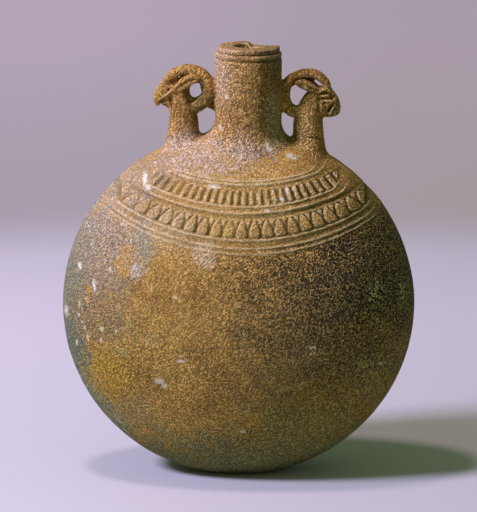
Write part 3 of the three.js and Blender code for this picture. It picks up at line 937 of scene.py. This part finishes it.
# Grey left edge of the body, as an oval less what lies inside it: centre, radii, softness of the edge

RIM = ((-72, 0, 55), (48, 60, 56), 0.4)
INSIDE_RIM = ((1, 0, 63.3), (57.5, 300, 57.5), 0.04)
RIM_RAGGED_SHARE = 0.25

# Crusted places: centre, radii, softness of the edge, share of cover

CRUST_PATCHES = [
    ((-9, -14, 120), (24, 30, 9), 0.8, 0.42),
    ((-44, -14, 96), (16, 30, 24), 0.5, 0.32),
]

# Discoloured patches of the body, one of them partly painted shade: centre, radii, softness of the edge,
# colour, share of cover

BODY_STAINS_AND_SHADE = [
    ((8, -26, 103), (27, 24, 14), 0.8, (222, 174, 112), 0.6),
    ((-27, -28, 97), (13, 24, 9), 0.7, (208, 180, 158), 0.5),
    ((10, 0, -3), (72, 60, 26), 0.5, (136, 138, 112), 0.75),
    ((32, -28, 56), (34, 40, 36), 0.8, (130, 102, 64), 0.75),
    ((26, -22, 20), (30, 20, 12), 0.7, (150, 132, 92), 0.6),
    # darker brown over the right side: partly a discolouring, partly painted shade of the side turned from
    # the lamps
    ((66, 0, 80), (34, 60, 40), 0.7, (124, 104, 72), 0.75),
    ((54, -14, 38), (18, 20, 15), 0.5, (160, 134, 98), 0.5),
    ((-50, -20, 66), (15, 24, 15), 0.6, (148, 120, 96), 0.65),
    ((-52, -16, 90), (17, 26, 20), 0.5, (138, 120, 110), 0.7),
    ((-40, -14, 113), (15, 24, 9), 0.6, (146, 126, 120), 0.6),
    ((-22, -10, 121), (18, 26, 9), 0.6, (150, 124, 112), 0.5),
    ((-42, -20, 27), (13, 22, 9), 0.6, (164, 146, 114), 0.45),
    ((-41.3, -25, 82.8), (4, 14, 3.6), 0.3, (188, 138, 68), 0.75),
    ((-39, -25, 88), (3.8, 14, 2.4), 0.3, (184, 136, 72), 0.7),
    ((-34.2, -26.3, 90), (4.2, 14, 9), 0.5, (148, 146, 136), 0.6),
    ((-37, -27, 81.5), (2.8, 14, 2.8), 0.6, (224, 214, 222), 0.5),
    ((-48, -20, 42), (8.5, 20, 11), 0.5, (196, 148, 60), 0.8),
    ((-50, -22, 60), (3.5, 16, 2.6), 0.5, (152, 126, 62), 0.5),
    ((-54.2, -18, 72.4), (0.9, 6, 1.6), 0.3, (198, 140, 72), 0.9),
    ((-55.2, -18, 68.6), (1.1, 6, 1.4), 0.3, (206, 160, 104), 0.9),
    ((-53.8, -18, 52.3), (1, 6, 1.6), 0.3, (196, 130, 70), 0.9),
    ((-12.7, -31.6, 88.3), (4.4, 14, 4.8), 0.4, (224, 184, 156), 0.85),
    ((-31.2, -30, 56.3), (3.2, 14, 2.4), 0.5, (196, 160, 104), 0.6),
    ((-42.6, -25, 50.6), (1.4, 10, 2), 0.4, (206, 178, 128), 0.7),
    ((-40, -27, 62), (1.6, 10, 3), 0.4, (196, 160, 92), 0.5),
    ((30.5, -30, 50.6), (2.6, 10, 2.4), 0.3, (150, 126, 74), 0.8),
    ((26.5, -31, 52.4), (1.6, 8, 1.8), 0.5, (216, 190, 150), 0.55),
    ((46, -22, 46.2), (3.2, 12, 2), 0.4, (158, 140, 98), 0.7),
    ((49.5, -20, 73.2), (2.4, 12, 4.5), 0.6, (206, 194, 150), 0.5),
    ((59.6, -12, 70.5), (2.2, 12, 5), 0.6, (206, 196, 150), 0.5),
]

# Small flecks of pale crust on the body: centre, radii

BODY_FLECKS = [
    ((-63.2, -8, 62.2), (0.9, 6, 1.8)), ((-57.9, -13, 80.1), (0.7, 4, 1.1)),
    ((-52.6, -20, 75.2), (0.6, 4, 1.3)), ((-52.2, -20, 73.4), (0.45, 4, 1.2)),
    ((-46.5, -22, 81), (0.55, 4, 0.7)), ((-58.2, -15, 62.4), (0.45, 4, 0.5)),
    ((-57, -16, 60), (0.4, 4, 0.5)), ((-59.1, -13, 51.3), (0.45, 4, 1.3)),
    ((-56, -17, 58), (0.4, 4, 0.8)), ((-58, -11, 37), (0.6, 4, 1.3)),
    ((-56, -11, 33), (0.5, 4, 1.5)), ((-49.7, -22, 58.8), (0.7, 4, 0.8)),
    ((-50, -22, 54.2), (0.4, 4, 0.8)), ((-44.4, -24, 58.6), (0.4, 4, 0.5)),
    ((-28.8, -29, 40.8), (1.6, 4, 1)), ((-26.8, -29, 39), (0.8, 4, 0.9)),
    ((-20.8, -32, 49), (1.5, 4, 0.5)), ((-21, -32, 51), (0.6, 4, 0.4)),
    ((-22.8, -32, 72.6), (0.6, 4, 0.6)), ((-34.6, -29, 34.4), (0.4, 4, 0.4)),
    ((1.3, -26, 21.3), (1, 4, 0.6)), ((-33.9, -14, 112.5), (0.8, 5, 2.2)),
    ((-32.6, -15, 110), (1, 5, 0.8)), ((-8.8, -23, 111.6), (1.9, 5, 0.8)),
    ((17.4, -22, 109.8), (1, 4, 1.5)), ((15.8, -24, 107.2), (1.9, 4, 0.6)),
    ((10.2, -27, 103.5), (1, 4, 0.5)), ((18.4, -12, 121), (1.2, 4, 0.9)),
    ((20.1, -13, 120), (1, 4, 0.5)), ((52, -18, 45), (0.9, 4, 0.5)),
    ((7.6, -31, 89.4), (0.4, 4, 0.5)), ((26.8, -31, 54), (1, 4, 0.4)),
    ((-15, 32, 48), (1.8, 4, 1.2)), ((28, 29, 74), (0.9, 4, 1.6)), ((-38, 27, 60), (1.2, 4, 0.8)),
]

# Small dark pits of the body: centre, radii

BODY_PITS = [
    ((-38.7, -27, 74), (0.55, 3, 0.35)), ((-38, -27, 74.5), (0.55, 3, 0.35)),
    ((-35.6, -28, 78.9), (0.5, 3, 0.3)), ((-35, -28, 79.3), (0.5, 3, 0.3)),
    ((-30.6, -28, 84.1), (0.5, 3, 0.5)), ((-24.4, -31, 72.6), (0.5, 3, 0.4)),
    ((2, -34, 70), (0.6, 3, 0.4)), ((21, -31, 58), (0.5, 3, 0.5)), ((-45, -22, 44), (0.6, 3, 0.5)),
    ((-20, 31, 72), (0.8, 3, 0.5)), ((14, 33, 50), (0.6, 3, 0.5)),
]

# Discoloured patches and flecks of the neck and of the handles, written as those of the body are. One on
# the neck is partly painted shade, and one on the handles is painted light.

NECK_STAINS_AND_SHADE = [
    ((14, -6, 134), (4.5, 14, 11), 0.5, (190, 172, 146), 0.6),
    # darker red-brown on the upper right of the neck: partly its colour, partly painted shade of the side
    # turned from the lamps
    ((13, -4, 153), (6, 14, 9), 0.5, (126, 100, 78), 0.6),
    ((-9, -6, 150), (9, 12, 13), 0.7, (214, 178, 160), 0.6),
    ((-5, -8, 121), (13, 26, 8), 0.7, (196, 162, 142), 0.5),
]
NECK_FLECKS = [
    ((10.2, -10, 124.8), (0.9, 4, 1.4)), ((11.2, -12, 123.4), (1, 4, 0.8)),
    ((-6.8, -9, 130.5), (0.6, 4, 1)), ((-4.4, -10, 142), (0.5, 4, 1.2)),
]
HANDLE_STAINS_AND_PAINTED_LIGHT = [
    ((-20, -4, 122), (9, 14, 6), 0.7, (206, 172, 160), 0.6),
    # painted light: a pale patch on the right post's left edge, where the bottle neck shades it
    ((22.5, -4, 128), (6, 9, 15), 0.6, (216, 176, 124), 0.5),
    # darker olive on the left post's side towards the bottle neck and on the right post's outer side
    ((-12, 0, 131), (5, 9, 16), 0.3, (104, 100, 52), 0.5),
    ((38, 0, 128), (6, 12, 14), 0.4, (110, 104, 58), 0.5),
]


class Glaze(Nodes):
    """The layers of worn glaze, and of painted shade and highlights on it. They share noises, so that
    colour and bump go together.
    """

    def __init__(self, name, tint):
        super().__init__(name)
        self.tint = tint
        self.across = self.along(ACROSS)
        self.coarse = self.noise(size=16.0, detail=3.0, roughness=0.6)
        self.medium = self.noise(size=3.5, detail=4.0, roughness=0.65)
        self.grains = self.noise(size=0.5, detail=1.0, roughness=0.7)
        self.dust = self.noise(size=0.85, detail=2.0, roughness=0.75, shift=(40, 17, 5))
        self.sand = self.noise(size=0.4, detail=0.0, roughness=0.6, shift=(9, 31, 60))
        drawn = self.drawn_out(FOLD_TURN, FOLD_STRETCH)
        self.folds = self.noise(size=0.42, detail=1.0, roughness=0.6, twist=0.6, place=drawn)
        shaded_creases = self.noise(size=1.5, detail=1.0, roughness=0.5, twist=1.2, place=drawn)
        beside_crease = self.math("ABSOLUTE", self.math("SUBTRACT", shaded_creases, 0.5))
        self.crease = self.steps(beside_crease, *CREASE_SPAN)
        blots = self.noise(size=8.0, detail=4.0, roughness=0.6)
        crumbs = self.noise(size=1.3, detail=2.0, roughness=0.6)
        self.ragged = self.total((blots, RAGGED_BLOTS), (crumbs, RAGGED_CRUMBS),
                                 start=-(RAGGED_BLOTS + RAGGED_CRUMBS) / 2)
        self.chipped = self.total((self.grains, CHIPPED_GRAINS), (self.sand, CHIPPED_SAND),
                                  start=CHIPPED_START)
        self.rough = self.leathery()

    def grainy(self, cover, grains):
        """A share of cover broken into grains: bare at zero, all covered at one."""
        covered = self.total((cover, 1.0), (grains, GRAIN_STRENGTH), start=-GRAIN_STRENGTH / 2)
        return self.steps(covered, *GRAIN_SPAN)

    def partly_grainy(self, cover, grain_share):
        """Cover of which a share is broken into grains."""
        return self.total((cover, 1 - grain_share), (self.grainy(cover, self.grains), grain_share))

    def leathery(self):
        """How strong the folds are, and with them their painted shade and highlight."""
        smooth_share = self.tint["smooth_share"]
        level = self.along(UP)
        offset = self.vector("DIVIDE", self.vector("SUBTRACT", self.place, ROUGH_CENTRE), ROUGH_RADII)
        distance = self.total((self.vector("LENGTH", offset), 1.0), (self.coarse, ROUGH_RAGGED),
                              start=-ROUGH_RAGGED / 2)
        rough = self.steps(distance, *ROUGH_SPAN, smooth_share, 1.0)
        foot = self.steps(level, *ROUGH_FOOT_SPAN, smooth_share, ROUGH_FOOT_SHARE)
        over_collar = self.total((self.times(self.across, self.across), -COLLAR_BEND), (level, 1.0))
        return self.times(self.most(rough, foot), self.steps(over_collar, *OVER_COLLAR_SPAN))

    def ground(self):
        """The mottled glaze under all other layers."""
        colour = self.mix(self.steps(self.coarse, *BASE_SPAN), self.tint["dark"], self.tint["base"])
        colour = self.mix(self.steps(self.medium, *LIGHT_SPAN), colour, self.tint["light"])
        return self.mix(self.steps(self.medium, *MOSS_SPAN), colour, MOSS_COLOUR)

    def rim(self):
        """Cover of the grey edge."""
        inside = self.patch(*INSIDE_RIM, self.times(self.ragged, RIM_RAGGED_SHARE))
        edge = self.math("SUBTRACT", self.patch(*RIM, self.ragged), inside)
        return self.grainy(self.times(edge, self.tint["rim_share"]), self.grains)

    def crust(self):
        """Cover of the pale crust, in places and thinly all over."""
        cover = 0.0
        for centre, radii, edge, share in CRUST_PATCHES:
            cover = self.most(cover, self.times(self.patch(centre, radii, edge, self.ragged), share))
        return self.grainy(self.math("ADD", cover, self.tint["crust_share"]), self.dust)

    def stained_and_painted_light(self, colour, stains_and_painted_light):
        for centre, radii, edge, patch_colour, share in stains_and_painted_light:
            cover = self.times(self.patch(centre, radii, edge, self.ragged), share)
            colour = self.mix(self.partly_grainy(cover, STAIN_GRAIN_SHARE), colour, patch_colour)
        return colour

    def grit_with_painted_light(self, colour):
        """Grains of the glaze, with painted shade between them and a painted highlight on top, the more so
        the stronger the folds are.
        """
        depth = self.times(self.rough, self.rough)
        low, high, shade_between_grains, highlight_on_grains = [
            self.total((depth, added), start=plain)
            for plain, added in (GRIT_LOW, GRIT_HIGH, SHADE_BETWEEN_GRAINS, HIGHLIGHT_ON_GRAINS)
        ]
        grit = self.total((self.folds, 1.0), (self.sand, GRIT_SAND), (self.grains, GRIT_GRAINS),
                          start=-(GRIT_SAND + GRIT_GRAINS) / 2)
        grit = self.steps(grit, low, high)
        grit = self.times(grit, grit)
        colour = self.vector("MULTIPLY", colour, self.steps(grit, 0, 1, shade_between_grains, highlight_on_grains))
        return self.mix(self.steps(grit, *GRIT_HIGHLIGHT_SPAN), colour, GRIT_HIGHLIGHT_COLOUR)

    def specks(self, rim):
        """Cover of single pale specks, of which the grey edge has more."""
        speck = self.noise(size=0.8, detail=0.0, roughness=0.5, shift=(80, 11, 23))
        return self.steps(self.total((speck, 1.0), (rim, RIM_SPECKS)), *SPECK_SPAN)

    def marked(self, colour, marks, patch_colour):
        for centre, radii in marks:
            cover = self.times(self.patch(centre, radii, MARK_EDGE, self.chipped), MARK_SHARE)
            colour = self.mix(cover, colour, patch_colour)
        return colour

    def painted_shade_and_pale_crests(self, colour):
        """Painted shade in recesses, stronger on the right, which is turned from the lamps, and pale
        crests: crust with a painted highlight.
        """
        bend = self.add("ShaderNodeNewGeometry").outputs["Pointiness"]
        hollow = self.most(self.steps(bend, *HOLLOW_SHADE_BEND_SPAN), self.mask("hollow"))
        hollow = self.times(hollow, self.steps(self.across, *HOLLOW_SHADE_SIDE_SPAN))
        colour = self.mix(hollow, colour, self.tint["hollow"])
        crest = self.most(self.steps(bend, *CREST_BEND_SPAN), self.mask("crest"))
        crest = self.times(crest, self.steps(self.across, *CREST_SIDE_SPAN))
        crest = self.times(crest, self.steps(self.medium, *CREST_WEAR_AND_HIGHLIGHT_SPAN))
        return self.mix(self.partly_grainy(crest, CREST_GRAIN_SHARE), colour, self.tint["crest"])

    def finished(self, colour, crust):
        """The material, with the bump of all layers."""
        folded = self.total((self.folds, FOLD_HEIGHT), (self.crease, CREASE_HEIGHT))
        height = self.total((folded, self.rough), (self.sand, SAND_HEIGHT),
                            (self.medium, MEDIUM_HEIGHT), (crust, CRUST_HEIGHT))
        bump = self.add("ShaderNodeBump", Height=height, Strength=1.0, Distance=MILLIMETRE)
        shader = self.add("ShaderNodeBsdfPrincipled", Base_Color=colour,
                          Roughness=self.steps(self.medium, *ROUGHNESS_SPAN),
                          Specular_IOR_Level=SPECULAR_SHARE, Normal=bump.outputs["Normal"])
        self.add("ShaderNodeOutputMaterial", Surface=shader.outputs["BSDF"])
        return self.material


def weathered(name, tint, stains_and_painted_light, flecks=(), pits=()):
    """Worn glaze with painted shade and highlights, its layers laid on one after another."""
    glaze = Glaze(name, tint)
    rim = glaze.rim()
    crust = glaze.crust()
    colour = glaze.mix(rim, glaze.ground(), RIM_COLOUR)
    colour = glaze.stained_and_painted_light(colour, stains_and_painted_light)
    colour = glaze.mix(glaze.times(crust, CRUST_SHARE), colour, CRUST_COLOUR)
    # painted shade in the crease lines, as strong as the folds
    shaded_creases = glaze.times(glaze.crease, glaze.rough)
    colour = glaze.mix(glaze.times(shaded_creases, CREASE_SHADE_SHARE), colour, CREASE_SHADE_COLOUR)
    colour = glaze.grit_with_painted_light(colour)
    colour = glaze.mix(glaze.specks(rim), colour, SPECK_COLOUR)
    colour = glaze.marked(colour, flecks, FLECK_COLOUR)
    colour = glaze.marked(colour, pits, PIT_COLOUR)
    return glaze.finished(glaze.painted_shade_and_pale_crests(colour), crust)


# Colours of each glaze, and its shares of crust, of folds where it is smoothest, and of the grey edge. Its
# dark colour for recesses is painted shade, and its crest colour is pale crust with a painted highlight.

BODY_TINT = {
    "dark": (170, 121, 60), "base": (198, 146, 79), "light": (218, 172, 106),
    "hollow": (80, 66, 32), "crest": (234, 202, 168),
    "crust_share": 0.06, "smooth_share": 0.3, "rim_share": 1.0,
}
NECK_TINT = {
    "dark": (160, 112, 60), "base": (192, 139, 80), "light": (216, 172, 120),
    "hollow": (70, 60, 34), "crest": (228, 200, 180),
    "crust_share": 0.1, "smooth_share": 1.0, "rim_share": 0.0,
}
HANDLE_TINT = {
    "dark": (160, 108, 54), "base": (196, 140, 78), "light": (222, 174, 116),
    "hollow": (52, 52, 26), "crest": (232, 200, 162),
    "crust_share": 0.1, "smooth_share": 0.9, "rim_share": 0.0,
}
body_glaze = weathered("weathered_body", BODY_TINT, BODY_STAINS_AND_SHADE, BODY_FLECKS, BODY_PITS)
neck_glaze = weathered("weathered_neck", NECK_TINT, NECK_STAINS_AND_SHADE, NECK_FLECKS)
handle_glaze = weathered("weathered_handles", HANDLE_TINT, HANDLE_STAINS_AND_PAINTED_LIGHT)

body_half("fired_front_half", "body_front_half", -1, body_glaze)
body_half("fired_back_half", "body_back_half", 1, body_glaze)
bottle_neck(neck_glaze)
add_handle("left", LEFT, handle_glaze)
add_handle("right", RIGHT, handle_glaze)

# Floor, which pales away from the flask and turns into a wall where it ends

FLOOR_RADIUS = 6.0  # metres
FLOOR_SIDES = 96
NEAR_FLOOR = (207, 197, 220)
FAR_FLOOR = (238, 219, 255)
NEAR_WALL_LEFT = (168, 157, 171)
NEAR_WALL_RIGHT = (163, 152, 158)
FAR_WALL_LEFT = (179, 165, 183)
FAR_WALL_RIGHT = (168, 155, 168)
BOUNCE = (150, 158, 134)
FLOOR_PALING = (-20, 330)
FLOOR_END = (370, 500)
WALL_PALING = (450, 1100)
WALL_SIDES = (-120, 120)


def floor():
    mesh = bpy.data.meshes.new("floor")
    edit = bmesh.new()
    bmesh.ops.create_circle(edit, cap_ends=True, radius=FLOOR_RADIUS, segments=FLOOR_SIDES)
    edit.to_mesh(mesh)
    edit.free()
    nodes = Nodes("pale_floor")
    distance = nodes.vector("LENGTH", nodes.place)
    rays = nodes.add("ShaderNodeLightPath").outputs
    seen = nodes.most(rays["Is Camera Ray"], rays["Is Glossy Ray"])
    seen = nodes.most(seen, rays["Is Transmission Ray"])
    pale = nodes.mix(nodes.steps(nodes.along(BEHIND), *FLOOR_PALING), NEAR_FLOOR, FAR_FLOOR)
    near = nodes.add("ShaderNodeBsdfDiffuse", Color=nodes.mix(seen, BOUNCE, pale))
    deeper = nodes.steps(distance, *WALL_PALING)
    wall_left = nodes.mix(deeper, NEAR_WALL_LEFT, FAR_WALL_LEFT)
    wall_right = nodes.mix(deeper, NEAR_WALL_RIGHT, FAR_WALL_RIGHT)
    wall = nodes.mix(nodes.steps(nodes.along(ACROSS), *WALL_SIDES), wall_left, wall_right)
    far = nodes.add("ShaderNodeEmission", Color=wall)
    ended = nodes.times(nodes.steps(distance, *FLOOR_END), seen)
    blend = nodes.add("ShaderNodeMixShader", Fac=ended)
    nodes.feed(blend.inputs[1], near.outputs["BSDF"])
    nodes.feed(blend.inputs[2], far.outputs["Emission"])
    nodes.add("ShaderNodeOutputMaterial", Surface=blend.outputs["Shader"])
    mesh.materials.append(nodes.material)
    add_object("floor", mesh)


floor()

# Light: a lamp overhead, a softer one low on the left, and a dim world. Lengths are in metres.

LAMPS = [
    {"name": "overhead_lamp", "azimuth": 68, "elevation": 75, "distance": 0.6, "size": 0.08,
     "white_share": 0.33, "colour": (1.0, 0.84, 0.76)},
    {"name": "side_lamp", "azimuth": 65, "elevation": 38, "distance": 0.9, "size": 0.2,
     "white_share": 1.14, "colour": (0.82, 0.82, 1.0)},
]
LAMP_AIM_HEIGHT = 0.08
WORLD_COLOUR = (108, 128, 90)


def set_up(item, azimuth, elevation, distance, aim_height):
    """Puts a lamp or camera at a distance from a point over the flask's foot, facing that point."""
    level = distance * math.cos(math.radians(elevation))
    height = distance * math.sin(math.radians(elevation))
    turn = math.radians(azimuth)
    item.location = (-level * math.sin(turn), -level * math.cos(turn), aim_height + height)
    item.rotation_euler = (math.radians(90 - elevation), 0, -turn)


def add_lamp(name, azimuth, elevation, distance, size, white_share, colour):
    """An area lamp that lights a white surface facing it to a share of white."""
    data = bpy.data.lights.new(name, "AREA")
    data.shape = "DISK"
    data.size = size
    data.energy = white_share * math.pi ** 2 * distance ** 2
    data.color = colour
    set_up(add_object(name, data), azimuth, elevation, distance, LAMP_AIM_HEIGHT)


for lamp in LAMPS:
    add_lamp(**lamp)

world = bpy.data.worlds.new("studio")
world.use_nodes = True
background = world.node_tree.nodes["Background"]
background.inputs["Color"].default_value = (*linear(WORLD_COLOUR), 1)
bpy.context.scene.world = world

# Camera: distance and aim in metres, lens and sensor in millimetres, elevation in degrees

CAMERA_LENS = 267.8
CAMERA_SENSOR = 36.0
CAMERA_ELEVATION = 12.4
CAMERA_DISTANCE = 1.4
CAMERA_AIM_HEIGHT = 0.081

camera_data = bpy.data.cameras.new("camera")
camera_data.lens = CAMERA_LENS
camera_data.sensor_width = CAMERA_SENSOR
camera = add_object("camera", camera_data)
set_up(camera, 0, CAMERA_ELEVATION, CAMERA_DISTANCE, CAMERA_AIM_HEIGHT)
bpy.context.scene.camera = camera
bpy.context.scene.view_settings.view_transform = "Standard"
